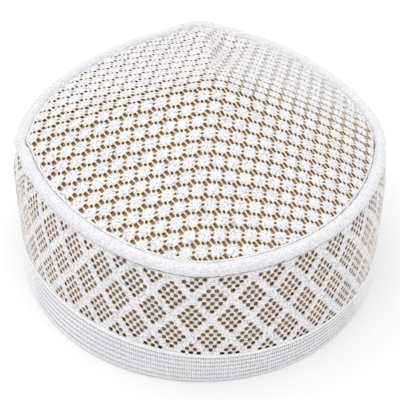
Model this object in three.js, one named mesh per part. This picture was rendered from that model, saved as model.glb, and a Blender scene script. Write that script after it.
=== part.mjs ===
import * as THREE from 'three';

// A soft open-knit cap that stands on its hem: a side band, a crown sewn to it by a padded seam,
// and a brown lining that shows through the openwork.
// Millimetres, +Z up, the front towards -Y. The origin is on the surface that the hem stands on,
// under the middle of the cap.

// Outline of the wall's outer face at the hem
const hemHalfWidth = 91.8;
const hemHalfDepth = 96.5;
const hemRoundness = 2.0;

// How much narrower and deeper the wall's outer face is at its top edge, where the fold corners
// draw it out
const topNarrowing = 1.6;
const topDeepening = 1.6;
const topRoundness = 1.755;

// How far the wall swells past a straight line from hem to top
const sideBulge = 2.4;
const frontBulge = 0.7;

// Heights
const wallHeight = 70.3;
const hemHeight = 20.2;
const crownRise = 31.7;

// The knitting is drawn askew, so the hem's edge runs this much higher on the left of the front
// and lower on the right of it
const hemSkew = 2.8;

// Cloth
const openworkThickness = 1.5;
const liningThickness = 1.0;
const seamRadius = 3.1;
const clearance = 0.3;

// Rows of the hem: six knitted rows and the cast-off edge above them
const hemRows = 7;
const hemRowRelief = 0.4;
const hemProud = 0.4;

// The peak stands a little to the right of the middle
const peakShift = 6;

// The back corner reaches further out than the front, so the outline's own centre stands this far
// in front of the origin
const outlineForward = 2.4;

// How much each quarter of the top edge is drawn out or in, as a share of its radius
const topQuarters = [
  { quarter: 'back right', fullness: -0.023 },
  { quarter: 'back left', fullness: -0.023 },
  { quarter: 'front left', fullness: -0.015 },
  { quarter: 'front right', fullness: 0.025 },
];

// Corners where the pressed folds meet the top edge: turn is the direction as a share of a full
// turn from +X, spread is how wide it is in turns, and draw is how far it is drawn out, or in
// where it is less than 0, as a share of the top's half depth
const topCorners = [
  { corner: 'right', turn: 0.99, spread: 0.016, draw: -0.004 },
  { corner: 'back', turn: 0.256, spread: 0.022, draw: 0.055 },
  { corner: 'left', turn: 0.515, spread: 0.01, draw: 0.018 },
  { corner: 'front', turn: 0.75, spread: 0.03, draw: 0.002 },
];

// Rows of the wall: height as a share of the stretch from hem foot to top edge,
// swell as a share of the bulge
const wallSections = [
  { height: 0.0, swell: 0.0 },
  { height: 0.2, swell: 0.35 },
  { height: 0.45, swell: 0.85 },
  { height: 0.68, swell: 1.1 },
  { height: 0.86, swell: 1.1 },
  { height: 1.0, swell: 0.0 },
];

// Rings of the crown: reach as a share of the way from the peak to the edge,
// height as a share of the crown's rise
const crownSections = [
  { reach: 1.0, height: 0.0 },
  { reach: 0.9, height: 0.12 },
  { reach: 0.76, height: 0.27 },
  { reach: 0.58, height: 0.455 },
  { reach: 0.4, height: 0.635 },
  { reach: 0.22, height: 0.81 },
  { reach: 0.08, height: 0.94 },
  { reach: 0.0, height: 0.985 },
];

// Folds pressed into the crown when the cap is put away flat, and the hollow beside one of them:
// turn is the direction as a share of a full turn from +X, spread is how wide it is in turns,
// reach and length are where it is strongest and how far it runs, as shares of the way to the
// edge, and lift is a share of the crown's rise
const crownFolds = [
  { fold: 'right ridge', turn: 0.99, spread: 0.035, reach: 0.5, length: 0.45, lift: 0.04 },
  { fold: 'back right hollow', turn: 0.224, spread: 0.021, reach: 0.68, length: 0.4, lift: -0.13 },
  { fold: 'back ridge', turn: 0.256, spread: 0.018, reach: 0.85, length: 0.45, lift: 0.12 },
  { fold: 'left ridge', turn: 0.522, spread: 0.035, reach: 0.5, length: 0.45, lift: 0.05 },
  { fold: 'front ridge', turn: 0.748, spread: 0.04, reach: 0.45, length: 0.45, lift: 0.045 },
];

// Folds fade out over this share of the way at the peak and at the edge
const foldFade = 0.22;

// Fineness of the meshes
const stepsAround = 72;
const seamSides = 8;
const leastRowHeight = 1;

// Places that follow from the sizes
const topHalfWidth = hemHalfWidth - topNarrowing;
const topHalfDepth = hemHalfDepth + topDeepening;
const wallStack = openworkThickness + clearance + liningThickness;
const hemThickness = wallStack + hemProud;
const seamHeight = wallHeight + clearance + seamRadius;
const seamInset = wallStack / 2;
const crownInset = seamInset + seamRadius + clearance;
const crownSeat = seamHeight + openworkThickness;

const fullTurn = 2 * Math.PI;

function outlineRadius(halfWidth, halfDepth, roundness, angle) {
  const across = Math.abs(Math.cos(angle)) / halfWidth;
  const along = Math.abs(Math.sin(angle)) / halfDepth;
  return (across ** roundness + along ** roundness) ** (-1 / roundness);
}

function interpolate(rows, key, value, at) {
  const ordered = [...rows].sort((a, b) => a[key] - b[key]);
  let upper = ordered.findIndex((row) => row[key] >= at);
  if (upper < 0) upper = ordered.length - 1;
  if (upper === 0) return ordered[0][value];
  const low = ordered[upper - 1];
  const high = ordered[upper];
  return THREE.MathUtils.mapLinear(at, low[key], high[key], low[value], high[value]);
}

function hemRadius(angle) {
  return outlineRadius(hemHalfWidth, hemHalfDepth, hemRoundness, angle);
}

// How near a direction is to a corner or fold: 1 on it, fading to 0 beyond its spread
function nearness(turn, feature) {
  const apart = Math.abs(turn - feature.turn);
  const aside = Math.min(apart, 1 - apart) / feature.spread;
  return Math.exp(-(aside ** 2));
}

function topRadius(angle) {
  const turn = angle / fullTurn;
  const quarter = Math.floor(turn * topQuarters.length + 1e-9) % topQuarters.length;
  const between = Math.sin(2 * angle) ** 2;
  const plain = outlineRadius(topHalfWidth, topHalfDepth, topRoundness, angle);
  let drawn = 0;
  for (const corner of topCorners) {
    drawn += topHalfDepth * corner.draw * nearness(turn, corner);
  }
  return plain * (1 + topQuarters[quarter].fullness * between) + drawn;
}

// Radius of the wall's outer face at a height
function wallRadius(angle, height) {
  const share = height / wallHeight;
  const straight = THREE.MathUtils.lerp(hemRadius(angle), topRadius(angle), share);
  const bulge = sideBulge * Math.cos(angle) ** 2 + frontBulge * Math.sin(angle) ** 2;
  return straight + bulge * interpolate(wallSections, 'height', 'swell', share);
}

function around(angle, radius, height) {
  return new THREE.Vector3(radius * Math.cos(angle), radius * Math.sin(angle), height);
}

// Height of the crown's outer face above its edge
function crownHeight(angle, section) {
  const turn = angle / fullTurn;
  let lift = 0;
  for (const fold of crownFolds) {
    const beyond = (section.reach - fold.reach) / fold.length;
    lift += fold.lift * nearness(turn, fold) * Math.exp(-(beyond ** 2));
  }
  const fromPeak = THREE.MathUtils.smoothstep(section.reach, 0, foldFade);
  const fromEdge = THREE.MathUtils.smoothstep(1 - section.reach, 0, foldFade);
  return crownRise * (section.height + lift * fromPeak * fromEdge);
}

// No triangle where two of the corners are the same point, as at a pole
function withoutSlivers(corners) {
  return new Set(corners).size === 3 ? corners : [];
}

// A mesh swept once around the cap. profileAt gives the points of the section at an angle;
// a ring's section closes on itself, a dome's runs from one point on the axis to another.
// The two faces of a layer are split along the same diagonals, so that thin layers nest.
function sweep(profileAt, isDome) {
  const positions = [];
  const indices = [];
  const profiles = [];
  for (let step = 0; step < stepsAround; step += 1) {
    profiles.push(profileAt((step / stepsAround) * fullTurn));
  }
  const count = profiles[0].length;
  const index = profiles.map(() => []);
  for (let row = 0; row < count; row += 1) {
    const isPole = isDome && (row === 0 || row === count - 1);
    for (let step = 0; step < stepsAround; step += 1) {
      if (!isPole || step === 0) {
        positions.push(...profiles[step][row].toArray());
      }
      index[step][row] = positions.length / 3 - 1;
    }
  }
  const lastRow = isDome ? count - 1 : count;
  for (let step = 0; step < stepsAround; step += 1) {
    const here = index[step];
    const next = index[(step + 1) % stepsAround];
    for (let row = 0; row < lastRow; row += 1) {
      const after = (row + 1) % count;
      const diagonal = row < count / 2 ? [here[row], next[after]] : [next[row], here[after]];
      const first = row < count / 2 ? [next[row], ...diagonal.toReversed()] : [here[row], ...diagonal];
      const second = row < count / 2 ? [here[after], ...diagonal] : [next[after], ...diagonal.toReversed()];
      indices.push(...withoutSlivers(first), ...withoutSlivers(second));
    }
  }
  const geometry = new THREE.BufferGeometry();
  geometry.setAttribute('position', new THREE.Float32BufferAttribute(positions, 3));
  geometry.setIndex(indices);
  geometry.computeVertexNormals();
  return geometry;
}

function hemTop(angle) {
  return hemHeight + hemSkew * Math.sin(2 * angle);
}

// The hem: a doubled border of plain knitting that carries the openwork and the lining
function hemProfile(angle) {
  const top = hemTop(angle);
  const rowHeight = top / hemRows;
  const outer = (height, relief) => wallRadius(angle, height) + hemProud - relief;
  const inner = (height) => wallRadius(angle, height) + hemProud - hemThickness;
  const profile = [around(angle, inner(0), 0)];
  for (let row = 0; row < hemRows; row += 1) {
    const foot = row * rowHeight;
    profile.push(around(angle, outer(foot, hemRowRelief), foot));
    profile.push(around(angle, outer(foot + rowHeight / 2, 0), foot + rowHeight / 2));
  }
  profile.push(around(angle, outer(top, hemRowRelief), top));
  profile.push(around(angle, inner(top), top));
  return profile;
}

// A layer of the wall between the hem and the rim seam, from depth inwards by thickness
function wallLayerProfile(angle, depth, thickness) {
  const highestFoot = hemHeight + hemSkew + clearance;
  const heights = wallSections
    .map((section) => section.height * wallHeight)
    .filter((height) => height > highestFoot + leastRowHeight);
  heights.unshift(hemTop(angle) + clearance);
  const outside = heights.map((height) => around(angle, wallRadius(angle, height) - depth, height));
  const inside = heights.map((height) => {
    return around(angle, wallRadius(angle, height) - depth - thickness, height);
  });
  return [...outside, ...inside.reverse()];
}

// The padded roll that joins the wall and the crown
function seamProfile(angle) {
  const centre = topRadius(angle) - seamInset;
  const profile = [];
  for (let side = 0; side < seamSides; side += 1) {
    const slant = ((side + 0.5) / seamSides) * fullTurn;
    const out = centre + seamRadius * Math.cos(slant);
    profile.push(around(angle, out, seamHeight + seamRadius * Math.sin(slant)));
  }
  return profile;
}

// A layer of the crown, from depth below its outer face down by thickness
function crownLayerProfile(angle, depth, thickness) {
  const edge = topRadius(angle) - crownInset;
  const layerPoint = (section, below) => {
    const point = around(angle, edge * section.reach, crownSeat + crownHeight(angle, section) - below);
    point.x += peakShift * (1 - section.reach);
    return point;
  };
  const under = crownSections.map((section) => layerPoint(section, depth + thickness)).reverse();
  const over = crownSections.map((section) => layerPoint(section, depth));
  return [...under, ...over];
}

const whiteKnit = new THREE.MeshStandardMaterial({ color: 0xe9e4dd, roughness: 0.9, metalness: 0 });
const whiteRoll = new THREE.MeshStandardMaterial({ color: 0xefeff2, roughness: 0.95, metalness: 0 });
const whiteHem = new THREE.MeshStandardMaterial({ color: 0xdbdada, roughness: 0.9, metalness: 0 });
const brownCloth = new THREE.MeshStandardMaterial({ color: 0x7d6648, roughness: 0.95, metalness: 0 });

const cap = new THREE.Group();

function addPiece(name, geometry, material) {
  geometry.translate(0, -outlineForward, 0);
  const piece = new THREE.Mesh(geometry, material);
  piece.name = name;
  cap.add(piece);
}

const liningDepth = openworkThickness + clearance;
addPiece('hem_band', sweep(hemProfile, false), whiteHem);
addPiece(
  'side_band',
  sweep((angle) => wallLayerProfile(angle, 0, openworkThickness), false),
  whiteKnit,
);
addPiece(
  'side_lining',
  sweep((angle) => wallLayerProfile(angle, liningDepth, liningThickness), false),
  brownCloth,
);
addPiece('rim_seam', sweep(seamProfile, false), whiteRoll);
addPiece(
  'crown',
  sweep((angle) => crownLayerProfile(angle, 0, openworkThickness), true),
  whiteKnit,
);
addPiece(
  'crown_lining',
  sweep((angle) => crownLayerProfile(angle, liningDepth, liningThickness), true),
  brownCloth,
);

export default cap;
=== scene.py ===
import math
from functools import partial

import bmesh
import bpy
import numpy as np
from mathutils import Matrix, Vector
from mathutils.geometry import delaunay_2d_cdt


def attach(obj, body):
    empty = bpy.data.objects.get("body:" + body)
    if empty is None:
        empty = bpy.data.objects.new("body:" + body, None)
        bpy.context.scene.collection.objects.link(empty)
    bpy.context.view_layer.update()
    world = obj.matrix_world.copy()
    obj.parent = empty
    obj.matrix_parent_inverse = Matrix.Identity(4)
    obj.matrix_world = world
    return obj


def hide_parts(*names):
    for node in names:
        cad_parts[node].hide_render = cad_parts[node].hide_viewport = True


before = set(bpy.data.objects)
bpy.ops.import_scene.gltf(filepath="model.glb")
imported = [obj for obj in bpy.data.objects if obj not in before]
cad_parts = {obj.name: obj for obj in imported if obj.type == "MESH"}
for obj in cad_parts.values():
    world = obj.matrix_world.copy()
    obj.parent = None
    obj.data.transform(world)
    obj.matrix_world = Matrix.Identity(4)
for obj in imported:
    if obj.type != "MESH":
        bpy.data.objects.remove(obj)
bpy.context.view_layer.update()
MM = 0.001

# ---- Side lining: a strip of thin brown cloth just behind the openwork of the side. ----
# It is cut as one straight strip, closed into a ring, and caught in the hem below and in the
# rim seam above, so it follows the wall of the cap all the way round.

# The wall's outline at the hem and at its top edge, and how far it swells between the two.
# Lengths here and below are in millimetres, and MM turns them into the scene's metres.
HEM_OUTLINE = {"half_width": 91.8, "half_depth": 96.5, "roundness": 2.0}
TOP_OUTLINE = {"half_width": 90.2, "half_depth": 98.1, "roundness": 1.755}
WALL_TOP = 70.3
SIDE_BULGE = 2.4
FRONT_BULGE = 0.7

# The back corner reaches out further than the front, so the outline's centre stands forward
OUTLINE_FORWARD = 2.4

# How full each quarter of the top edge is: back right, back left, front left, front right
QUARTER_FULLNESS = np.array([-0.023, -0.023, -0.015, 0.025])

# Corners of the top edge: direction in turns from +X, spread in turns, and draw
TOP_CORNERS = (
    (0.99, 0.016, -0.39),
    (0.256, 0.022, 5.40),
    (0.515, 0.010, 1.77),
    (0.75, 0.030, 0.20),
)

# Share of the height, and share of the bulge there
WALL_SWELL = ((0, 0), (0.2, 0.35), (0.45, 0.85), (0.68, 1.1), (0.86, 1.1), (1, 0))

# The hem's edge stands this high and runs askew, this much higher on the left of the front and
# lower on the right
HEM_TOP = 20.2
HEM_SKEW = 2.8

# Share of the hem's height below its cast-off edge. The openwork and the lining are sewn on
# behind that edge, this little above the knitted rows.
HEM_KNIT_SHARE = 0.857
SEWING_GAP = 0.3

LINING_OUTER_DEPTH = 1.82
LINING_THICKNESS = 0.8
LINING_STEPS = 240
LINING_ROWS = 12

# The brown cloth: its colour, the tints it is mottled with, threads to the metre, and relief
LINING_BROWN = (0.39, 0.275, 0.165, 1)
LINING_TINTS = ((0.37, 0.255, 0.15, 1), (0.49, 0.345, 0.21, 1))
LINING_THREADS = 1100.0
LINING_RELIEF = 0.15


def curve_through(rows, at):
    """A smooth curve through the rows of a table, read at any place between them."""
    places, values = np.array(rows, float).T
    slopes = np.gradient(values, places)
    step = np.clip(np.searchsorted(places, at, side="right") - 1, 0, len(places) - 2)
    width = places[step + 1] - places[step]
    t = np.clip((at - places[step]) / width, 0, 1)
    return (
        (1 + 2 * t) * (1 - t) ** 2 * values[step]
        + t * (1 - t) ** 2 * width * slopes[step]
        + t * t * (3 - 2 * t) * values[step + 1]
        - t * t * (1 - t) * width * slopes[step + 1]
    )


def smooth_step(at, start, end):
    """A soft step from 0 at the start to 1 at the end."""
    t = np.clip((at - start) / (end - start), 0, 1)
    return t * t * (3 - 2 * t)


def outline_radius(outline, angle):
    """How far out an outline lies in each direction."""
    across = np.abs(np.cos(angle)) / outline["half_width"]
    along = np.abs(np.sin(angle)) / outline["half_depth"]
    power = outline["roundness"]
    return (across**power + along**power) ** (-1 / power)


def nearness(turn, at, spread):
    """1 at a place on the round, fading to 0 away from it."""
    apart = np.abs(turn - at)
    return np.exp(-((np.minimum(apart, 1 - apart) / spread) ** 2))


def top_radius(angle):
    """The same for the wall's top edge."""
    turn = (np.asarray(angle) / (2 * np.pi)) % 1
    fullness = QUARTER_FULLNESS[np.floor(turn * 4 + 1e-9).astype(int) % 4]
    radius = outline_radius(TOP_OUTLINE, angle) * (1 + fullness * np.sin(2 * angle) ** 2)
    for at, spread, draw in TOP_CORNERS:
        radius = radius + draw * nearness(turn, at, spread)
    return radius


def wall_radius(angle, height):
    """The same for the wall at each height."""
    share = height / WALL_TOP
    straight = outline_radius(HEM_OUTLINE, angle) * (1 - share) + top_radius(angle) * share
    bulge = SIDE_BULGE * np.cos(angle) ** 2 + FRONT_BULGE * np.sin(angle) ** 2
    return straight + bulge * curve_through(WALL_SWELL, share)


def from_above(radius, angle):
    """Places seen from above, by radius and direction."""
    return np.stack([radius * np.cos(angle), radius * np.sin(angle)], -1)


# Directions at even steps of cloth round the wall, starting at the middle of the front
FRONT = -np.pi / 2
WALL_STEPS = 2880
GIRTH_HEIGHT = 40.0
wall_angles = FRONT + np.linspace(0, 2 * np.pi, WALL_STEPS + 1)
ring_points = from_above(wall_radius(wall_angles, GIRTH_HEIGHT), wall_angles)
ring_steps = np.linalg.norm(np.diff(ring_points, axis=0), axis=1)
ring_lengths = np.concatenate([[0], np.cumsum(ring_steps)])
WALL_GIRTH = float(ring_lengths[-1])

# The wall's direction is read between two points this far to either side, in radians
BESIDE = 0.004


def wall_point(along, height, out):
    """Points on the wall: along is the way round from the front as a share."""
    turns = np.floor(along)
    angle = np.interp(along - turns, ring_lengths / WALL_GIRTH, wall_angles)
    ahead, behind = angle + BESIDE, angle - BESIDE
    run = from_above(wall_radius(ahead, height), ahead)
    run -= from_above(wall_radius(behind, height), behind)
    run /= np.linalg.norm(run, axis=-1, keepdims=True)
    outward = np.stack([run[..., 1], -run[..., 0]], -1)
    radius = wall_radius(angle, height)
    level = np.broadcast_to(height, radius.shape)[..., None]
    return np.concatenate([from_above(radius, angle) + out[..., None] * outward, level], -1)


def hem_top(along):
    """Height of the hem's edge at a place along the cloth."""
    return HEM_TOP - HEM_SKEW * np.sin(4 * np.pi * along)


def cloth_foot(along):
    """Height where the openwork and the lining are sewn to the hem."""
    return hem_top(along) * HEM_KNIT_SHARE + SEWING_GAP


def mesh_of(name, points, faces):
    """A mesh from points in millimetres and from its faces."""
    mesh = bpy.data.meshes.new(name)
    mesh.from_pydata((np.array(points) * MM).tolist(), [], faces)
    return mesh


def ring_mesh(name, points):
    """A closed ring from a grid of points: round the cap, then round the section."""
    around, rows = points.shape[:2]
    corner = np.arange(around * rows).reshape(around, rows)
    ahead, above = np.roll(corner, -1, 0), np.roll(corner, -1, 1)
    faces = np.stack([corner, ahead, np.roll(ahead, -1, 1), above], -1).reshape(-1, 4)
    mesh = mesh_of(name, points.reshape(-1, 3), faces.tolist())
    layer = mesh.uv_layers.new(name="cloth")
    u, v = np.divmod(faces, rows)
    u = np.where(u < u[:, :1], u + around, u) / around
    v = np.where(v < v[:, :1] - 1, v + rows, v) / rows
    layer.data.foreach_set("uv", np.stack([u, v], -1).astype(np.float32).ravel())
    return mesh


def placed(name, data):
    """A new object in the scene."""
    thing = bpy.data.objects.new(name, data)
    bpy.context.scene.collection.objects.link(thing)
    return thing


def finished(name, mesh, material, node):
    """The piece as an object at the origin, riding on the cap in place of its plain solid."""
    mesh.materials.clear()
    mesh.materials.append(material)
    mesh.polygons.foreach_set("use_smooth", np.ones(len(mesh.polygons), bool))
    mesh.transform(Matrix.Translation((0, -OUTLINE_FORWARD * MM, 0)))
    mesh.update()
    piece = placed(name, mesh)
    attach(piece, "root")
    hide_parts(node)
    return piece


def node_in(tree, kind, sources=(), **settings):
    """One node of a tree, with its settings, values and links."""
    node = tree.nodes.new(kind)
    for key, value in settings.items():
        setattr(node, key, value)
    for key, value in dict(sources).items():
        if isinstance(value, bpy.types.NodeSocket):
            tree.links.new(value, node.inputs[key])
        else:
            node.inputs[key].default_value = value
    return node


def sum_in(tree, operation, *values):
    """One step of arithmetic in a tree."""
    return node_in(tree, "ShaderNodeMath", enumerate(values), operation=operation).outputs[0]


def spread_out(tree, value, low, high):
    """A value that runs from low to high, spread from 0 to 1."""
    sources = {0: value, 1: low, 2: high, 3: 0.0, 4: 1.0}
    return node_in(tree, "ShaderNodeMapRange", sources).outputs[0]


def effect_group(name, values, results):
    """An empty shader group for a place, with some values and results."""
    group = bpy.data.node_groups.new(name, "ShaderNodeTree")
    group.interface.new_socket("Place", in_out="INPUT", socket_type="NodeSocketVector")
    for side, labels in (("INPUT", values), ("OUTPUT", results)):
        for label in labels:
            group.interface.new_socket(label, in_out=side, socket_type="NodeSocketFloat")
    taken, given = group.nodes.new("NodeGroupInput"), group.nodes.new("NodeGroupOutput")
    return group, taken.outputs, given.inputs


# Threads that cross each other: a grid of small humps, uneven in blotches wider than a thread
BLOTCHES_PER_THREAD = 0.37
weave, weave_in, weave_out = effect_group(
    "crossing threads", ("Threads", "Unevenness"), ("Height", "Mottle")
)
weave_parts = node_in(weave, "ShaderNodeSeparateXYZ", {0: weave_in["Place"]}).outputs
weave_waves = []
for axis in ("X", "Y"):
    turns = sum_in(weave, "MULTIPLY", weave_parts[axis], weave_in["Threads"])
    wave = sum_in(weave, "SINE", sum_in(weave, "MULTIPLY", turns, 2 * math.pi))
    weave_waves.append(sum_in(weave, "MULTIPLY_ADD", wave, 0.5, 0.5))
blotches = sum_in(weave, "MULTIPLY", weave_in["Threads"], BLOTCHES_PER_THREAD)
values = {"Vector": weave_in["Place"], "Scale": blotches, "Detail": 3.0}
weave_noise = node_in(weave, "ShaderNodeTexNoise", values).outputs[0]
weave_humps = sum_in(weave, "MULTIPLY", *weave_waves)
weave_rough = sum_in(weave, "MULTIPLY", weave_noise, weave_in["Unevenness"])
weave.links.new(sum_in(weave, "ADD", weave_humps, weave_rough), weave_out["Height"])
weave.links.new(weave_noise, weave_out["Mottle"])


def cloth_material(name, colour, roughness, sheen):
    """A material of its own shader, with a plain sheen, ready for its weave."""
    material = bpy.data.materials.new(name)
    material.use_nodes = True
    tree = material.node_tree
    shader = tree.nodes["Principled BSDF"]
    values = {"Base Color": colour, "Roughness": roughness, "Sheen Weight": sheen}
    values |= {"Sheen Roughness": 0.6, "Specular IOR Level": 0.25}
    for key, value in values.items():
        shader.inputs[key].default_value = value
    return material, tree, shader


def bump_into(tree, shader, height, distance, strength):
    """A height in the weave that catches the light."""
    values = {"Strength": strength, "Distance": distance, "Height": height}
    bump = node_in(tree, "ShaderNodeBump", values)
    tree.links.new(bump.outputs[0], shader.inputs["Normal"])


def tinted(tree, shader, mask, low, high):
    """The colour runs from low to high as the mask does."""
    mix = node_in(tree, "ShaderNodeMix", {0: mask, 6: low, 7: high}, data_type="RGBA")
    tree.links.new(mix.outputs[2], shader.inputs["Base Color"])
    return mix.outputs[2]


lining_brown, tree, shader = cloth_material("brown_lining_cloth", LINING_BROWN, 0.9, 0.1)
place = node_in(tree, "ShaderNodeTexCoord").outputs["Object"]
values = {"Place": place, "Threads": LINING_THREADS, "Unevenness": 0.6}
threads = node_in(tree, "ShaderNodeGroup", values, node_tree=weave)
mottle = spread_out(tree, threads.outputs["Mottle"], 0.3, 0.7)
tinted(tree, shader, mottle, *LINING_TINTS)
bump_into(tree, shader, threads.outputs["Height"], distance=LINING_RELIEF * MM, strength=0.5)

RIPPLES_ROUND = 61
RIPPLE_DEPTH = 0.06
along = (np.arange(LINING_STEPS) / LINING_STEPS)[:, None]
strip_rows = np.linspace(0, 1, LINING_ROWS)
up_and_down = np.concatenate([strip_rows, strip_rows[::-1]])[None, :]
lining_foot = cloth_foot(along)
lining_heights = lining_foot + (WALL_TOP - lining_foot) * up_and_down
lining_faces = [LINING_OUTER_DEPTH, LINING_OUTER_DEPTH + LINING_THICKNESS]
lining_outs = -np.repeat(lining_faces, LINING_ROWS)[None, :]
between_seams = np.sin(np.pi * up_and_down)
ripple = RIPPLE_DEPTH * (np.sin(2 * np.pi * along * RIPPLES_ROUND) - 1) * between_seams
lining_points = wall_point(along, lining_heights, lining_outs + ripple)
lining_mesh = ring_mesh("side_lining_cloth", lining_points)
side_lining = finished(
    "side_lining_cloth", lining_mesh, lining_brown, "side_lining"
)

# ---- Side band: openwork knitted in white cotton, in lozenges of small round holes. ----
# It is one strip of six-sided cells, 160 round, each row half a cell aside of the last. Solid
# bands of stitches cross between the lozenges. The strip is closed into a ring and joined to
# the hem, behind the hem's cast-off edge.

HOLES_ROUND = 160
BAND_ROWS = 23
ROW_HEIGHT = 2.605
FIRST_ROW = 18.24
HOLE_PITCH = WALL_GIRTH / HOLES_ROUND

# The rows run askew, up to the left of the front, and the lozenges lean a little sideways
ROW_SKEW = 3.6
PATTERN_LEAN = -0.84

# The last rows draw together under the rim seam, by this much from this height up
TOP_DRAW = 1.2
TOP_DRAW_START = 62.0

# Above the first row: the highest place for a hole, and for a cell
HIGHEST_HOLE = 52.2
HIGHEST_CELL = 54.5

# Every fifth slanting line of cells is solid, counted from this one
LOZENGE_STEP = 5
LOZENGE_START = 3

BAND_THICKNESS = 0.62
CELL_SIDE = 1.7
HOLE_SQUARENESS = 0.1
SOLID_HUMP = 0.15

# Rings of the cell from its front, through the hole, to its back: half width, half height, and
# how far out. Then how much painted warm bounce light from the lining tints the yarn, edge to
# edge.
HOLE_RINGS = ((1.40, 1.50, 0.06), (1.14, 1.36, -0.10), (1.08, 1.30, -BAND_THICKNESS))
HOLE_WARM_BOUNCE = (0.25, 0.8, 0.7, 0.0, 0.0)

# Points nearer to each other than this are joined: between cells, and where the ring closes
JOINED_WITHIN = 0.02
CLOSED_WITHIN = 0.03


def set_painted_light(mesh, values):
    """How far each point takes its painted light, warm bounce at edges and shade on the hem, 0 to
    1.
    """
    mesh.attributes.new("rim", "FLOAT", "POINT").data.foreach_set("value", values)


def cell_of_band(name, rings, hump):
    """A six-sided cell of the band, with a rimmed hole in it or a low hump on it."""
    half, side = HOLE_PITCH / 2, CELL_SIDE / 2
    tip = ROW_HEIGHT - side
    right = [(half, 0), (half, side), (0, tip)]
    left = [(-half, side), (-half, 0), (-half, -side)]
    outline = [*right, *left, (0, -tip), (half, -side)]
    loops = [[(x, y, 0.0) for x, y in outline]]
    for width, height, out in rings:
        loop = []
        for k in range(8):
            turn, square = k * math.pi / 4, 1 + HOLE_SQUARENESS * (k % 2)
            loop.append((width * math.cos(turn) * square, height * math.sin(turn) * square, out))
        loops.append(loop)
    loops.append([(x, y, -BAND_THICKNESS) for x, y in outline])
    verts = [Vector(point) * MM for loop in loops for point in loop]
    if rings:
        faces = [
            (8 * row + k, 8 * row + (k + 1) % 8, 8 * row + 8 + (k + 1) % 8, 8 * row + 8 + k)
            for row in range(len(loops) - 1)
            for k in range(8)
        ]
        # Painted warm bounce light, strongest on the hole's front rings
        rim = [bounce_share for bounce_share in HOLE_WARM_BOUNCE for _ in range(8)]
    else:
        verts.append(Vector((0, 0, hump)) * MM)
        faces = [(k, (k + 1) % 8, 16) for k in range(8)] + [tuple(range(15, 7, -1))]
        rim = [0.0] * len(verts)
    mesh = bpy.data.meshes.new(name)
    mesh.from_pydata(verts, [], faces)
    set_painted_light(mesh, rim)
    return placed(name, mesh)


def growth_tree(name, **inputs):
    """An empty tree with named inputs of each kind and a material."""
    tree = bpy.data.node_groups.new(name, "GeometryNodeTree")
    tree.interface.new_socket("Geometry", in_out="OUTPUT", socket_type="NodeSocketGeometry")
    for kind, labels in {**inputs, "Material": ("Material",)}.items():
        for label in labels:
            tree.interface.new_socket(label, in_out="INPUT", socket_type="NodeSocket" + kind)
    return tree, tree.nodes.new("NodeGroupInput").outputs


def counted(tree, per_row):
    """Each point's row and its place in the row."""
    index = node_in(tree, "GeometryNodeInputIndex").outputs[0]
    middle = sum_in(tree, "ADD", index, 0.5)
    row = sum_in(tree, "FLOOR", sum_in(tree, "DIVIDE", middle, per_row))
    return row, sum_in(tree, "SUBTRACT", index, sum_in(tree, "MULTIPLY", row, per_row))


def points_in(tree, per_row, rows, place):
    """Points at the places worked out for them."""
    sources = {"Count": sum_in(tree, "MULTIPLY", per_row, rows), "Position": place}
    return node_in(tree, "GeometryNodePoints", sources).outputs[0]


def copies_at(tree, points, shape, **sources):
    """A copy of an object at each point."""
    shape = node_in(tree, "GeometryNodeObjectInfo", {"Object": shape}).outputs["Geometry"]
    sources = {"Points": points, "Instance": shape, **sources}
    return node_in(tree, "GeometryNodeInstanceOnPoints", sources).outputs[0]


def last_steps(tree, geometry, material, distance):
    """Instances made real, joined where they touch, and given their material."""
    real = node_in(tree, "GeometryNodeRealizeInstances", {0: geometry}).outputs[0]
    if distance:
        sources = {"Geometry": real, "Distance": distance}
        real = node_in(tree, "GeometryNodeMergeByDistance", sources).outputs[0]
    done = node_in(tree, "GeometryNodeSetMaterial", {"Geometry": real, "Material": material})
    out = tree.nodes.new("NodeGroupOutput")
    tree.links.new(done.outputs[0], out.inputs[0])


def grown(name, tree, **values):
    """What a tree makes with these values, as a plain mesh."""
    host = placed(name, bpy.data.meshes.new(name))
    modifier = host.modifiers.new("growth", "NODES")
    modifier.node_group = tree
    for socket in tree.interface.items_tree:
        if socket.in_out == "INPUT":
            modifier[socket.identifier] = values[socket.name.lower().replace(" ", "_")]
    bpy.context.view_layer.update()
    grown_host = host.evaluated_get(bpy.context.evaluated_depsgraph_get())
    mesh = bpy.data.meshes.new_from_object(grown_host)
    bpy.data.objects.remove(host)
    return mesh


def read_out(data, count, field, kind=np.float32):
    """The values of one field of a mesh's data, as an array."""
    values = np.zeros(count, kind)
    data.foreach_get(field, values)
    return values


def mesh_points(mesh):
    """The mesh's points, in millimetres."""
    points = read_out(mesh.vertices, len(mesh.vertices) * 3, "co")
    return points.reshape(-1, 3).astype(float) / MM


def set_points(mesh, points):
    """Moves the mesh's points, in millimetres."""
    mesh.vertices.foreach_set("co", (points * MM).astype(np.float32).ravel())
    mesh.update()


def set_uv(mesh, places):
    """A UV map from one place for each point."""
    corners = read_out(mesh.loops, len(mesh.loops), "vertex_index", np.int32)
    layer = mesh.uv_layers.get("cloth") or mesh.uv_layers.new(name="cloth")
    layer.data.foreach_set("uv", places[corners].astype(np.float32).ravel())


strip_tree, strip_in = growth_tree(
    "lozenge openwork",
    Int=("Holes Round", "Rows", "Lozenge Step", "Pattern Offset"),
    Float=("Pitch", "Row Height", "Row Skew", "Highest Hole", "Highest Cell"),
    Object=("Pierced Cell", "Solid Cell"),
)
strip_sum = partial(sum_in, strip_tree)
row, column = counted(strip_tree, strip_in["Holes Round"])
row_shift = strip_sum("FLOORED_MODULO", row, 2.0)
half_steps = strip_sum("MULTIPLY_ADD", column, 2.0, row_shift)
whole_steps = strip_sum("MULTIPLY", half_steps, 0.5)
across = strip_sum("MULTIPLY", whole_steps, strip_in["Pitch"])
up = strip_sum("MULTIPLY", row, strip_in["Row Height"])

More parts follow.
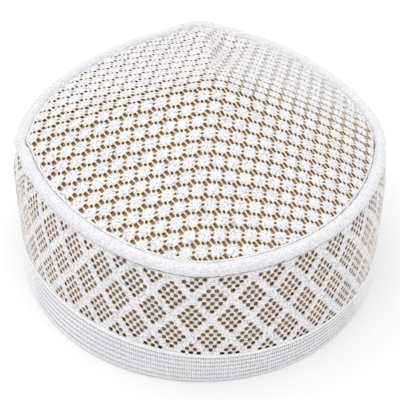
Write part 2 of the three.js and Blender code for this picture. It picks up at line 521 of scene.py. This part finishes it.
# A cell is open off the solid lines of both slants, above the first row and below the rim
diagonals = []
for operation in ("ADD", "SUBTRACT"):
    line = strip_sum("MULTIPLY", strip_sum(operation, half_steps, row), 0.5)
    line = strip_sum("ADD", line, strip_in["Pattern Offset"])
    beyond = strip_sum("FLOORED_MODULO", line, strip_in["Lozenge Step"])
    diagonals.append(strip_sum("GREATER_THAN", beyond, 0.5))
twice_round = strip_sum("DIVIDE", half_steps, strip_in["Holes Round"])
wave = strip_sum("SINE", strip_sum("MULTIPLY", twice_round, 2 * math.pi))
skewed = strip_sum("MULTIPLY", wave, strip_in["Row Skew"])
height = strip_sum("SUBTRACT", up, skewed)
below_rim = strip_sum("LESS_THAN", height, strip_in["Highest Hole"])
kept = strip_sum("LESS_THAN", height, strip_in["Highest Cell"])
above_first = strip_sum("GREATER_THAN", row, 0.5)
pierced = strip_sum("MULTIPLY", *diagonals)
for rule in (above_first, below_rim):
    pierced = strip_sum("MULTIPLY", pierced, rule)
solid = strip_sum("SUBTRACT", kept, pierced)

place = node_in(strip_tree, "ShaderNodeCombineXYZ", {0: across, 1: up}).outputs[0]
points = points_in(strip_tree, strip_in["Holes Round"], strip_in["Rows"], place)
joined = node_in(strip_tree, "GeometryNodeJoinGeometry")
for shape, chosen in (("Pierced Cell", pierced), ("Solid Cell", solid)):
    cells = copies_at(strip_tree, points, strip_in[shape], Selection=chosen)
    strip_tree.links.new(cells, joined.inputs[0])
last_steps(strip_tree, joined.outputs[0], strip_in["Material"], JOINED_WITHIN * MM)

# Small stitches side by side: rounded humps, with painted shade in the fine gaps between them
knit, knit_in, knit_out = effect_group(
    "small stitches", ("Unevenness", "Gap Start", "Gap End"), ("Height", "Gap")
)
values = {"Vector": knit_in["Place"], "Scale": 1.0, "Randomness": knit_in["Unevenness"]}
knit_cells = node_in(knit, "ShaderNodeTexVoronoi", values).outputs["Distance"]
knit_gap_shade = spread_out(knit, knit_cells, knit_in["Gap Start"], knit_in["Gap End"])
knit.links.new(sum_in(knit, "SUBTRACT", 1.0, knit_cells), knit_out["Height"])
knit.links.new(knit_gap_shade, knit_out["Gap"])

STITCH_UNEVENNESS = 0.75
STITCH_BUMP = 0.8


def stitched_white(name, place, per_unit, white_and_painted_light, gap_shade_colour, gap_shade_range, relief, fuzz):
    """A white yarn's material: its colour, painted light where the rim says, and small stitches
    with painted shade between.
    """
    material, tree, shader = cloth_material(name, white_and_painted_light[0], 0.88, fuzz)
    source = (
        node_in(tree, "ShaderNodeTexCoord").outputs["Object"]
        if place == "object"
        else node_in(tree, "ShaderNodeUVMap", uv_map=place).outputs[0]
    )
    scaled = node_in(tree, "ShaderNodeMapping", {"Vector": source, "Scale": per_unit}).outputs[0]
    values = {"Place": scaled, "Unevenness": STITCH_UNEVENNESS}
    values |= {"Gap Start": gap_shade_range[0], "Gap End": gap_shade_range[1]}
    small = node_in(tree, "ShaderNodeGroup", values, node_tree=knit)
    painted_light_mask = node_in(tree, "ShaderNodeAttribute", attribute_name="rim").outputs["Fac"]
    yarn = tinted(tree, shader, painted_light_mask, *white_and_painted_light)
    tinted(tree, shader, small.outputs["Gap"], yarn, gap_shade_colour)
    bump_into(tree, shader, small.outputs["Height"], relief * MM, STITCH_BUMP)
    return material


# One small stitch of the band's yarn
STITCH_WIDTH = 1.23
STITCH_LENGTH = 0.84
band_white = stitched_white(
    "white_band_knit",
    place="cloth",
    per_unit=(1000 / STITCH_WIDTH, 1000 / STITCH_LENGTH, 1.0),
    # Second white: painted warm bounce light from the lining at hole edges. Gap colour: painted
    # shade.
    white_and_painted_light=((0.87, 0.87, 0.90, 1), (0.92, 0.77, 0.61, 1)),
    gap_shade_colour=(0.52, 0.52, 0.55, 1),
    gap_shade_range=(0.48, 0.72),
    relief=0.3,
    fuzz=0.25,
)

pierced_cell = cell_of_band("pierced_cell", HOLE_RINGS, 0)
solid_cell = cell_of_band("solid_cell", (), SOLID_HUMP)
band_mesh = grown(
    "side_band_openwork",
    strip_tree,
    holes_round=HOLES_ROUND,
    rows=BAND_ROWS,
    pitch=HOLE_PITCH * MM,
    row_height=ROW_HEIGHT * MM,
    row_skew=ROW_SKEW * MM,
    highest_hole=HIGHEST_HOLE * MM,
    highest_cell=HIGHEST_CELL * MM,
    lozenge_step=LOZENGE_STEP,
    pattern_offset=LOZENGE_START,
    pierced_cell=pierced_cell,
    solid_cell=solid_cell,
    material=band_white,
)
for cell in (pierced_cell, solid_cell):
    bpy.data.objects.remove(cell)

strip = mesh_points(band_mesh)
set_uv(band_mesh, strip[:, :2] * MM)
along = strip[:, 0] / WALL_GIRTH
heights = strip[:, 1] + FIRST_ROW - ROW_SKEW * np.sin(4 * np.pi * along)
drawn = TOP_DRAW * smooth_step(heights, TOP_DRAW_START, WALL_TOP)
heights = np.clip(heights - drawn, cloth_foot(along), WALL_TOP)
along += PATTERN_LEAN * np.cos(4 * np.pi * along) / WALL_GIRTH
set_points(band_mesh, wall_point(along, heights, strip[:, 2]))


def closed_at_the_ends(mesh):
    """The ring's ends joined, and its faces bridged along the top and bottom edges."""
    work = bmesh.new()
    work.from_mesh(mesh)
    bmesh.ops.remove_doubles(work, verts=work.verts, dist=CLOSED_WITHIN * MM)
    edges = [edge for edge in work.edges if edge.is_boundary]
    middle = sum(vert.co.z for edge in edges for vert in edge.verts) / max(1, 2 * len(edges))
    for side in (True, False):
        level = [edge for edge in edges if (edge.verts[0].co.z > middle) == side]
        bmesh.ops.bridge_loops(work, edges=level)
    bmesh.ops.recalc_face_normals(work, faces=work.faces)
    work.to_mesh(mesh)
    work.free()


closed_at_the_ends(band_mesh)
side_band = finished("side_band_openwork", band_mesh, band_white, "side_band")

# ---- Hem: a doubled border of plain stocking stitch, six rows of small V stitches. ----
# It is knitted first, in a thicker yarn, folded double and joined to the foot of the openwork,
# and the cap stands on its fold. A chain of cast-off stitches lies along its upper edge.

HEM_ROWS = 6
HEM_STITCHES_ROUND = 268
HEM_INNER_DEPTH = 2.8
HEM_CORE_DEPTH = 0.42

# One leg of a V stitch, from foot to head: share of the stitch's width aside, share of the row
# up, and how far out. Then how thick it is on the way, how far it arches, and its corners.
LEG_FOOT = (0.21, -0.40, -0.22)
LEG_HEAD = (0.31, 0.32, 0.0)
LEG_SWELL = ((0.0, 0.45), (0.3, 1.0), (0.7, 1.0), (1.0, 0.45))
LEG_ARCH = 0.22
LEG_RADIUS = 0.45
LEG_CORNERS = 5
FIFTH_TURN = 1.2566

# The first row's share of a row up, the lowest place for a stitch, and how deep each is sunk
FIRST_HEM_ROW = 0.55
LOWEST_STITCH = 0.15
STITCH_SUNK = 0.12

hem_white = stitched_white(
    "white_hem_knit",
    place="object",
    per_unit=(1600.0, 1600.0, 1600.0),
    # Second white: painted shade on the hem's core and edge strip. Gap colour: faint painted
    # shade.
    white_and_painted_light=((0.955, 0.955, 0.985, 1), (0.52, 0.515, 0.54, 1)),
    gap_shade_colour=(0.92, 0.915, 0.93, 1),
    gap_shade_range=(0.38, 0.75),
    relief=0.08,
    fuzz=0.5,
)

# Section of the hem: how far out, share of the hem's height, and how much shade lies on it
HEM_PROFILE = (
    (-HEM_INNER_DEPTH, HEM_KNIT_SHARE, 0),
    (-HEM_INNER_DEPTH, 0.43, 0),
    (-HEM_INNER_DEPTH, 0.03, 0),
    (-HEM_INNER_DEPTH + 0.6, 0.0, 0),
    (-0.9, 0.0, 0.5),
    (-0.45, 0.012, 1),
    (-HEM_CORE_DEPTH, 0.04, 1),
    (-HEM_CORE_DEPTH, 0.43, 1),
    (-HEM_CORE_DEPTH, HEM_KNIT_SHARE - 0.01, 1),
    (0.10, HEM_KNIT_SHARE + 0.015, 0.7),
    (0.26, HEM_KNIT_SHARE + 0.045, 0.4),
    (0.26, 0.985, 0.4),
    (0.16, 1.0, 0.4),
    (0.06, 0.995, 0.6),
    (0.04, HEM_KNIT_SHARE + 0.015, 0),
)
hem_outs, hem_shares, hem_shades = np.array(HEM_PROFILE).T
hem_along = (np.arange(HEM_STITCHES_ROUND) / HEM_STITCHES_ROUND)[:, None]
hem_points = wall_point(hem_along, hem_shares * hem_top(hem_along), hem_outs[None, :])
hem_core_mesh = ring_mesh("hem_core", hem_points)
set_painted_light(hem_core_mesh, np.tile(hem_shades, HEM_STITCHES_ROUND).astype(np.float32))

stitch_tree, stitch_in = growth_tree(
    "rows of V stitches",
    Int=("Stitches Round", "Rows", "Seed"),
    Float=("Pitch", "Row Height", "Unevenness"),
    Object=("Stitch",),
)
row, column = counted(stitch_tree, stitch_in["Stitches Round"])
across = sum_in(stitch_tree, "MULTIPLY", column, stitch_in["Pitch"])
up = sum_in(stitch_tree, "MULTIPLY", row, stitch_in["Row Height"])
place = node_in(stitch_tree, "ShaderNodeCombineXYZ", {0: across, 1: up}).outputs[0]
points = points_in(stitch_tree, stitch_in["Stitches Round"], stitch_in["Rows"], place)
least = sum_in(stitch_tree, "SUBTRACT", 1.0, stitch_in["Unevenness"])
most = sum_in(stitch_tree, "ADD", 1.0, stitch_in["Unevenness"])
values = {2: least, 3: most, "Seed": stitch_in["Seed"]}
uneven = node_in(stitch_tree, "FunctionNodeRandomValue", values, data_type="FLOAT").outputs[1]
size = node_in(stitch_tree, "ShaderNodeCombineXYZ", {0: 1.0, 1: 1.0, 2: uneven})
stitches = copies_at(stitch_tree, points, stitch_in["Stitch"], Scale=size.outputs[0])
last_steps(stitch_tree, stitches, stitch_in["Material"], 0)

hem_row = HEM_TOP * HEM_KNIT_SHARE / HEM_ROWS
stitch_pitch = WALL_GIRTH / HEM_STITCHES_ROUND
work = bmesh.new()
for side in (-1, 1):
    foot, head = (
        Vector((side * stitch_pitch * aside, hem_row * up, out))
        for aside, up, out in (LEG_FOOT, LEG_HEAD)
    )
    run = (head - foot).normalized()
    wide = run.cross(Vector((0, 0, 1))).normalized()
    high = wide.cross(run)
    loops = []
    for share, swell in LEG_SWELL:
        centre = foot.lerp(head, share) + Vector((0, 0, LEG_ARCH * math.sin(math.pi * share)))
        loop = []
        for k in range(LEG_CORNERS):
            corner = math.cos(k * FIFTH_TURN) * wide + math.sin(k * FIFTH_TURN) * high
            loop.append(work.verts.new((centre + swell * LEG_RADIUS * corner) * MM))
        loops.append(loop)
    for lower, upper in zip(loops, loops[1:]):
        for k in range(LEG_CORNERS):
            ahead = (k + 1) % LEG_CORNERS
            work.faces.new((lower[k], lower[ahead], upper[ahead], upper[k]))
    work.faces.new(loops[-1])
    work.faces.new(reversed(loops[0]))
bmesh.ops.recalc_face_normals(work, faces=work.faces)
stitch_mesh = bpy.data.meshes.new("stitch")
work.to_mesh(stitch_mesh)
work.free()
stitch = placed("stitch", stitch_mesh)
hem_mesh = grown(
    "hem_stitches",
    stitch_tree,
    stitches_round=HEM_STITCHES_ROUND,
    rows=HEM_ROWS,
    pitch=stitch_pitch * MM,
    row_height=hem_row * MM,
    unevenness=0.12,
    seed=3,
    stitch=stitch,
    material=hem_white,
)
bpy.data.objects.remove(stitch)
flat = mesh_points(hem_mesh)
along = flat[:, 0] / WALL_GIRTH
heights = np.maximum(flat[:, 1] + hem_row * FIRST_HEM_ROW, LOWEST_STITCH)
heights = heights * hem_top(along) / HEM_TOP
set_points(hem_mesh, wall_point(along, heights, flat[:, 2] - STITCH_SUNK))
hem_core = finished("hem_core", hem_core_mesh, hem_white, "hem_band")
hem_stitches = finished("hem_stitches", hem_mesh, hem_white, "hem_band")

# ---- Crown lining: a round of the same brown cloth under the openwork of the crown. ----
# It is cut a little smaller than the crown and sewn in with it at the rim, so it follows the
# crown's low dome and its pressed folds.

CROWN_RISE = 31.7
CROWN_SEAT = 75.2
CROWN_INSET = 4.8
PEAK_SHIFT = 6.0
FOLD_FADE = 0.22

# The lining's two faces lie this deep below the crown's, and its mesh is this fine
DOME_DEPTHS = (1.85, 2.65)
DOME_STEPS = 160
DOME_RINGS = 26

# Share of the way from the peak to the edge, and share of the rise there
CROWN_ARC = (
    *((0, 0.985), (0.08, 0.94), (0.22, 0.81), (0.4, 0.635)),
    *((0.58, 0.455), (0.76, 0.27), (0.9, 0.12), (1.0, 0)),
)

# Pressed folds: direction and spread in turns, reach and length as shares, lift as a share
CROWN_FOLDS = (
    (0.99, 0.035, 0.5, 0.45, 0.04),
    (0.224, 0.021, 0.68, 0.4, -0.13),
    (0.256, 0.018, 0.85, 0.45, 0.12),
    (0.522, 0.035, 0.5, 0.45, 0.05),
    (0.748, 0.04, 0.45, 0.45, 0.045),
)


def crown_rise(angle, reach):
    """Height of the crown's face above its edge."""
    turn = (angle / (2 * np.pi)) % 1
    lift = 0
    for at, spread, where, length, height in CROWN_FOLDS:
        lengthwise = np.exp(-(((reach - where) / length) ** 2))
        lift = lift + height * nearness(turn, at, spread) * lengthwise
    fade = smooth_step(reach, 0, FOLD_FADE) * smooth_step(1 - reach, 0, FOLD_FADE)
    return CROWN_RISE * (curve_through(CROWN_ARC, np.clip(reach, 0, 1)) + lift * fade)


def crown_place(x, y):
    """Direction and reach of a point of the crown seen from above, found step by step."""
    reach = np.full(np.shape(x), 0.5)
    for _ in range(14):
        inward = x - PEAK_SHIFT * (1 - reach)
        angle = np.arctan2(y, inward)
        reach = np.clip(np.hypot(inward, y) / (top_radius(angle) - CROWN_INSET), 0, 1.5)
    return angle, reach


def crown_point(angle, reach, lift):
    """A place above the crown's face, from its direction, its reach and its lift."""
    edge = (top_radius(angle) - CROWN_INSET) * reach
    x = edge * np.cos(angle) + PEAK_SHIFT * (1 - reach)
    z = CROWN_SEAT + crown_rise(angle, np.minimum(reach, 1)) + lift
    return np.stack([x, edge * np.sin(angle), z], -1)


def dome_mesh(name, depths, round_steps, rings):
    """A closed shell under the crown's face, between two depths below it."""
    angles = np.arange(round_steps) / round_steps * 2 * np.pi
    points, faces = [], []
    for depth in depths:
        points.append(crown_point(np.array(0.0), np.array(0.0), -depth))
        for reach in (np.arange(rings) + 1) / rings:
            points.extend(crown_point(angles, np.full_like(angles, reach), -depth))
    layer = 1 + rings * round_steps

    def corner(which, ring, step):
        return which * layer + 1 + ring * round_steps + step % round_steps

    for step in range(round_steps):
        ahead = step + 1
        faces.append((0, corner(0, 0, step), corner(0, 0, ahead)))
        faces.append((layer, corner(1, 0, ahead), corner(1, 0, step)))
        for ring in range(rings - 1):
            over = [corner(0, ring, step), corner(0, ring + 1, step)]
            faces.append((*over, corner(0, ring + 1, ahead), corner(0, ring, ahead)))
            under = [corner(1, ring, ahead), corner(1, ring + 1, ahead)]
            faces.append((*under, corner(1, ring + 1, step), corner(1, ring, step)))
        rim = [corner(0, rings - 1, step), corner(1, rings - 1, step)]
        faces.append((*rim, corner(1, rings - 1, ahead), corner(0, rings - 1, ahead)))
    return mesh_of(name, points, faces)


dome = dome_mesh("crown_lining_cloth", DOME_DEPTHS, DOME_STEPS, DOME_RINGS)
crown_lining = finished("crown_lining_cloth", dome, lining_brown, "crown_lining")

# ---- Crown: a round of openwork net in the same white yarn, with raised star-like stitches. ----
# Pairs of slanting slots with one thread between them stand in rows, small gaps lie between the
# pairs and between the rows. It is sewn down all round, and a plain border is left at its edge.

NET_ACROSS = np.array([6.849, 0.450])
NET_ALONG = np.array([-1.118, -7.331])
NET_ORIGIN = np.array([9.66, -55.20])

# How the rows bend over the crown, for each square of ten repeats
NET_BEND_ACROSS = np.array([-2.24, -1.24])
NET_BEND_BOTH = np.array([3.46, 9.75])
NET_BEND_ALONG = np.array([-0.17, 0.45])

# Gaps of one repeat: place in repeats across and along, half length, half width, slant of the
# long side in degrees, and number of corners
NET_GAPS = (
    (0.113, -0.091, 1.52, 0.81, -53, 8),
    (-0.113, 0.091, 1.52, 0.81, -53, 8),
    (0.497, 0.0, 1.02, 0.64, -62, 6),
    (0.008, 0.498, 0.80, 0.60, 24, 6),
)
GAP_OUTLINES = {
    8: (
        *((1, 0.66), (0.76, 1), (-0.76, 1), (-1, 0.66)),
        *((-1, -0.66), (-0.76, -1), (0.76, -1), (1, -0.66)),
    ),
    6: ((1, 0.3), (0.35, 1), (-0.7, 1), (-1, -0.3), (-0.35, -1), (0.7, -1)),
}

# One repeat: where its corner lies, points along its sides, and the height of a row of points.
# A ring of points stands round each slot, and the points keep clear of each other and the gaps.
NET_CELL_START = np.array([-0.352, -0.356])
POINTS_ACROSS, POINTS_ALONG = 6, 7
NET_GRAIN = 1.12
SLOT_RING = 0.38
RING_CLEAR = 0.2
GAP_CLEAR = 0.3
POINT_CLEAR = 0.62

# The yarn is raised by this, this far from a gap, and takes painted warm bounce light up to this
# far from it
FLORET_RISE = 0.36
RAISED_FROM = 1.3
BOUNCE_WIDTH = 0.85
NET_THICKNESS = 0.42
LEAST_AREA = 0.001

# Behind the fold from side to side the net is slack: its gaps are closed by one share and their
# painted warm bounce rims paler by another, from the first place to the second, counted to the
# back
GAPS_CLOSED = 0.22
BOUNCE_PALER = 0.6
CLOSED_FROM = (2.0, 22.0)

BORDER_INNER = 5.5
BORDER_OUTER = 4.4
BORDER_STEPS = 480


def gap_corners(gap, swell=0.0):
    """The corners of one gap, from the middle of the repeat."""
    across, along, half_length, half_width, slant, count = gap
    turn = math.radians(slant)
    long_way = np.array([math.cos(turn), math.sin(turn)])
    wide_way = np.array([-math.sin(turn), math.cos(turn)])
    lengthwise, widthwise = np.array(GAP_OUTLINES[count], float).T[:, :, None]
    middle = across * NET_ACROSS + along * NET_ALONG
    lengths = (half_length + swell) * lengthwise * long_way
    return middle + lengths + (half_width + swell) * widthwise * wide_way


def inside(points, corners):
    """Which points lie inside a convex gap."""
    within = np.ones(len(points), bool)
    for a, b in zip(corners, np.roll(corners, -1, 0)):
        run, apart = b - a, points - a
        within &= run[0] * apart[:, 1] - run[1] * apart[:, 0] > -1e-9
    return within


def distance_to(points, corners):
    """How far each point lies from a gap's outline."""
    nearest = np.full(len(points), np.inf)
    for a, b in zip(corners, np.roll(corners, -1, 0)):
        t = np.clip(((points - a) @ (b - a)) / ((b - a) @ (b - a)), 0, 1)
        nearest = np.minimum(nearest, np.linalg.norm(points - a - t[:, None] * (b - a), axis=1))
    return nearest


def in_repeats(places):
    """Flat places counted in repeats across and along."""
    return np.linalg.solve(np.stack([NET_ACROSS, NET_ALONG], 1), places.T).T


def net_cell(name):
    """One repeat of the net, flat, with its gaps cut and the stitches between them raised."""
    start = NET_CELL_START[0] * NET_ACROSS + NET_CELL_START[1] * NET_ALONG
    across = [k / POINTS_ACROSS for k in range(POINTS_ACROSS)]
    along = [k / POINTS_ALONG for k in range(POINTS_ALONG)]
    coords = [start + NET_ACROSS * share for share in across]
    coords += [start + NET_ACROSS + NET_ALONG * share for share in along]
    coords += [start + NET_ALONG + NET_ACROSS * (1 - share) for share in across]
    coords += [start + NET_ALONG * (1 - share) for share in along]
    gaps = [gap_corners(gap) for gap in NET_GAPS]
    loops = [list(range(len(coords)))]
    for corners in gaps:
        loops.append(list(range(len(coords), len(coords) + len(corners))))
        coords.extend(corners)

    def clear_of_gaps(point, distance):
        return not any(inside(point[None], gap_corners(gap, distance))[0] for gap in NET_GAPS)

    for gap in NET_GAPS[:2]:
        ring = gap_corners(gap, SLOT_RING)
        coords.extend(corner for corner in ring if clear_of_gaps(corner, RING_CLEAR))
    taken = np.array(coords)
    rows = int(np.linalg.norm(NET_ALONG) / NET_GRAIN)
    for row in range(rows):
        for column in range(POINTS_ACROSS):
            aside = (column + 0.5 * (row % 2) + 0.25) / POINTS_ACROSS
            point = start + aside * NET_ACROSS + (row + 0.5) / rows * NET_ALONG
            apart = np.linalg.norm(taken - point, axis=1).min()
            if apart > POINT_CLEAR and clear_of_gaps(point, GAP_CLEAR):
                coords.append(point)
    edges = [(loop[k], loop[(k + 1) % len(loop)]) for loop in loops for k in range(len(loop))]
    found = delaunay_2d_cdt([Vector(point) for point in coords], edges, [], 0, 1e-5)
    flat_points = np.array([tuple(vert) for vert in found[0]])
    triangles = np.array([face for face in found[2]])

    # Triangles in the gaps, outside the repeat or too thin are left out
    middles = flat_points[triangles].mean(1)
    keep = ~np.any([inside(middles, corners) for corners in gaps], axis=0)
    triangles = triangles[keep]
    shares = in_repeats(middles[keep] - start)
    triangles = triangles[((shares > -1e-6) & (shares < 1 + 1e-6)).all(1)]
    first, second, third = (flat_points[triangles[:, k]] for k in range(3))
    triangles = triangles[np.abs(np.cross(second - first, third - first)) > LEAST_AREA]

    around = [da * NET_ACROSS + db * NET_ALONG for da in (-1, 0, 1) for db in (-1, 0, 1)]
    apart = [distance_to(flat_points, corners + shift) for corners in gaps for shift in around]
    near = np.min(apart, axis=0)
    raised = FLORET_RISE * smooth_step(near, 0.0, RAISED_FROM)
    used = np.unique(triangles)
    order = np.full(len(flat_points), -1)
    order[used] = np.arange(len(used))
    points = np.column_stack([flat_points[used], raised[used]])
    mesh = mesh_of(name, points, order[triangles].tolist())

    # The way from each corner of a gap to its middle, for the part where the gaps close
    inward = np.zeros((len(flat_points), 3))
    for corners in gaps:
        for corner in corners:
            here = np.linalg.norm(flat_points - corner, axis=1) < 1e-4
            inward[here, :2] = corners.mean(0) - corner
    ways = mesh.attributes.new("to gap middle", "FLOAT_VECTOR", "POINT")
    ways.data.foreach_set("vector", inward[used].astype(np.float32).ravel())
    set_painted_light(mesh, np.clip(1 - near[used] / BOUNCE_WIDTH, 0, 1).astype(np.float32))
    return placed(name, mesh)


net_tree, net_in = growth_tree(
    "net of slanting slots",
    Int=("Repeats Across", "Repeats Along"),
    Vector=("Step Across", "Step Along"),
    Object=("Repeat",),
)
row, column = counted(net_tree, net_in["Repeats Across"])
steps = []
for count, repeats, step_way in (
    (column, "Repeats Across", "Step Across"),
    (row, "Repeats Along", "Step Along"),
):
    half = sum_in(net_tree, "FLOOR", sum_in(net_tree, "DIVIDE", net_in[repeats], 2.0))
    sources = {0: net_in[step_way], "Scale": sum_in(net_tree, "SUBTRACT", count, half)}
    steps.append(node_in(net_tree, "ShaderNodeVectorMath", sources, operation="SCALE").outputs[0])
place = node_in(net_tree, "ShaderNodeVectorMath", enumerate(steps), operation="ADD").outputs[0]
points = points_in(net_tree, net_in["Repeats Across"], net_in["Repeats Along"], place)
repeats = copies_at(net_tree, points, net_in["Repeat"])
last_steps(net_tree, repeats, net_in["Material"], JOINED_WITHIN * MM)

crown_white = stitched_white(
    "white_crown_knit",
    place="cloth",
    per_unit=(7.0, 7.0, 1.0),
    # Second white: painted warm bounce light from the lining round the slots. Gap colour: painted
    # shade.
    white_and_painted_light=((0.84, 0.843, 0.872, 1), (0.92, 0.78, 0.62, 1)),
    gap_shade_colour=(0.44, 0.44, 0.48, 1),
    gap_shade_range=(0.54, 0.76),
    relief=0.3,
    fuzz=0.25,
)

net_repeat = net_cell("net_repeat")
crown_mesh = grown(
    "crown_openwork",
    net_tree,
    repeats_across=38,
    repeats_along=32,
    step_across=(*(NET_ACROSS * MM), 0.0),
    step_along=(*(NET_ALONG * MM), 0.0),
    repeat=net_repeat,
    material=crown_white,
)
bpy.data.objects.remove(net_repeat)

# The net is bent to lie as it does on the crown, and its gaps are closed where it is slack
NET_SHIFT_ALONG = 7
net = mesh_points(crown_mesh)
shares = in_repeats(net[:, :2])
shares[:, 1] -= NET_SHIFT_ALONG
tens = shares / 10
net[:, :2] = (
    NET_ORIGIN
    + shares @ np.stack([NET_ACROSS, NET_ALONG])
    + tens[:, :1] ** 2 * NET_BEND_ACROSS
    + tens[:, :1] * tens[:, 1:] * NET_BEND_BOTH
    + tens[:, 1:] ** 2 * NET_BEND_ALONG
)
quarter_turned = np.stack([shares[:, 0] + shares[:, 1], shares[:, 0] - shares[:, 1]], 1)


def reach_at(angle, inset):
    """The reach of a place that lies this far inside the rim's outline."""
    edge = top_radius(angle) - CROWN_INSET
    return (edge + CROWN_INSET - inset) / edge


inward = read_out(crown_mesh.attributes["to gap middle"].data, 3 * len(net), "vector")
behind = smooth_step(net[:, 1], *CLOSED_FROM)
net[:, :2] += GAPS_CLOSED * behind[:, None] * inward.reshape(-1, 3)[:, :2]

# Points beyond the crown's edge are drawn in to it, and triangles that lie all beyond it go
angle, reach = crown_place(net[:, 0], net[:, 1])
held = np.minimum(reach, reach_at(angle, BORDER_OUTER))
from_edge = (top_radius(angle) - CROWN_INSET) * (1 - reach)
net_face = crown_point(angle, held, net[:, 2])
corners = read_out(crown_mesh.loops, len(crown_mesh.loops), "vertex_index", np.int32)
triangles = corners.reshape(-1, 3)
triangles = triangles[(from_edge[triangles] > BORDER_OUTER - CROWN_INSET).any(1)]
first, second, third = (net_face[triangles[:, k], :2] for k in range(3))
triangles = triangles[np.cross(second - first, third - first) > LEAST_AREA]
used, triangles = np.unique(triangles, return_inverse=True)
triangles = triangles.reshape(-1, 3)
net_face = net_face[used]
# Painted warm bounce light on each point of the net
warm_bounce = read_out(crown_mesh.attributes["rim"].data, len(net), "value")


def closed_cloth(name, face, triangles, thickness):
    """A closed mesh from a cloth's upper face and the same again below it."""
    count = len(face)
    ends = np.concatenate([triangles[:, [0, 1]], triangles[:, [1, 2]], triangles[:, [2, 0]]])
    alone = ~np.isin(ends[:, 0] * count + ends[:, 1], ends[:, 1] * count + ends[:, 0])
    start, end = ends[alone].T
    walls = np.stack([end, start, start + count, end + count], 1)
    points = np.concatenate([face, face - [0, 0, thickness]])
    under = triangles[:, ::-1] + count
    return mesh_of(name, points, triangles.tolist() + under.tolist() + walls.tolist())


crown_solid = closed_cloth("crown_openwork", net_face, triangles, NET_THICKNESS)
set_uv(crown_solid, np.tile(quarter_turned[used], (2, 1)))
warm_bounce = (warm_bounce * (1 - BOUNCE_PALER * behind))[used]
set_painted_light(crown_solid, np.concatenate([warm_bounce, warm_bounce * 0]))
crown = finished("crown_openwork", crown_solid, crown_white, "crown")

# The net's edge is bound by a narrow strip of close stitches. Its section: how far inside the
# rim's outline, and how far above the crown's face.
BORDER_SECTION = (
    (BORDER_INNER, -0.62),
    (BORDER_INNER, 0.02),
    (BORDER_INNER - 0.3, 0.12),
    (BORDER_OUTER + 0.2, 0.12),
    (BORDER_OUTER, 0.0),
    (BORDER_OUTER, -0.62),
)
border_insets, border_heights = np.array(BORDER_SECTION).T[:, None, :]
border_angles = (np.arange(BORDER_STEPS) / BORDER_STEPS * 2 * np.pi)[:, None]
border_reach = reach_at(border_angles, border_insets)
border_points = crown_point(border_angles, border_reach, border_heights)
border_mesh = ring_mesh("crown_border_strip", border_points)
crown_border = finished("crown_border_strip", border_mesh, crown_white, "crown")

# ---- Rim seam: a soft padded roll that joins the side band and the crown. ----
# It is a bias strip of brushed white knit folded over a cord of wadding and sewn in between the
# two, so it stands out as a rounded ridge all the way round.

SEAM_HEIGHT = 73.7
SEAM_INSET = 1.4
SEAM_RADIUS = 3.05
SEAM_STEPS = 720
SEAM_CORNERS = 24
NAP_HEIGHT = 0.11
NAP_SEED = 5

# Where the roll is creased by a pressed fold: direction and spread in turns, and depth
SEAM_CREASES = ((0.991, 0.0035, 0.7), (0.522, 0.0035, 0.55), (0.256, 0.004, 0.3))

roll_white = stitched_white(
    "white_brushed_roll",
    place="object",
    per_unit=(760.0, 760.0, 760.0),
    white_and_painted_light=((0.80, 0.80, 0.825, 1), (0.80, 0.80, 0.825, 1)),
    gap_shade_colour=(0.66, 0.66, 0.69, 1),
    # Gap colour: painted shade between the brushed stitches.
    gap_shade_range=(0.38, 0.75),
    relief=0.45,
    fuzz=0.5,
)

turns = np.arange(SEAM_STEPS) / SEAM_STEPS
angles = 2 * np.pi * turns[:, None]
section = 2 * np.pi * np.arange(SEAM_CORNERS)[None, :] / SEAM_CORNERS
nap = np.random.default_rng(NAP_SEED).normal(size=(SEAM_STEPS, SEAM_CORNERS))
nap = (nap + np.roll(nap, 1, 0) + np.roll(nap, 1, 1) + np.roll(nap, -1, 0)) / 2 * NAP_HEIGHT
creases = sum(depth * nearness(turns, at, spread) for at, spread, depth in SEAM_CREASES)
thick = SEAM_RADIUS + nap - creases[:, None]
out = top_radius(angles) - SEAM_INSET + thick * np.cos(section)
seam_heights = SEAM_HEIGHT + thick * np.sin(section)
seam_points = np.concatenate([from_above(out, angles), seam_heights[..., None]], -1)
seam_mesh = ring_mesh("rim_seam_roll", seam_points)
rim_seam = finished("rim_seam_roll", seam_mesh, roll_white, "rim_seam")

# ---- Table top, light and camera: a plain white table under an even soft light. ----

# Here the lengths are in metres, and the turns in degrees
TABLE_ENDS = (-4, 4)
SOFTBOX_TURNS = (-14, -7)
CAMERA_TURNS = ((0.05, "Z"), (49.94, "X"), (1.41, "Z"))

table_white = cloth_material("pale_table_top", (0.915, 0.915, 0.915, 1), 0.9, 0.0)[0]
table_mesh = bpy.data.meshes.new("table_top")
corners = [(x, y, 0) for x in TABLE_ENDS for y in TABLE_ENDS]
table_mesh.from_pydata(corners, [], [(0, 2, 3, 1)])
table_mesh.materials.append(table_white)
floor = placed("table_top", table_mesh)

world = bpy.data.worlds.new("white_room")
world.use_nodes = True
room_light = world.node_tree.nodes["Background"].inputs
room_light["Color"].default_value = (1, 1, 1, 1)
room_light["Strength"].default_value = 0.85
bpy.context.scene.world = world

softbox_data = bpy.data.lights.new("overhead_softbox", "AREA")
softbox_data.shape = "RECTANGLE"
softbox_data.size = 2.0
softbox_data.size_y = 2.0
softbox_data.energy = 15
softbox = placed("overhead_softbox", softbox_data)
softbox.location = (-0.2, -0.4, 1.6)
softbox.rotation_euler = (*(math.radians(turn) for turn in SOFTBOX_TURNS), 0)

camera_data = bpy.data.cameras.new("camera")
camera_data.lens = 118.9
camera_data.sensor_width = 36
camera = placed("camera", camera_data)
camera_place = Matrix.Translation((0.0002, -0.5267, 0.4736))
for turn, axis in CAMERA_TURNS:
    camera_place = camera_place @ Matrix.Rotation(math.radians(turn), 4, axis)
camera.matrix_world = camera_place
bpy.context.scene.camera = camera
bpy.context.scene.view_settings.view_transform = "Standard"
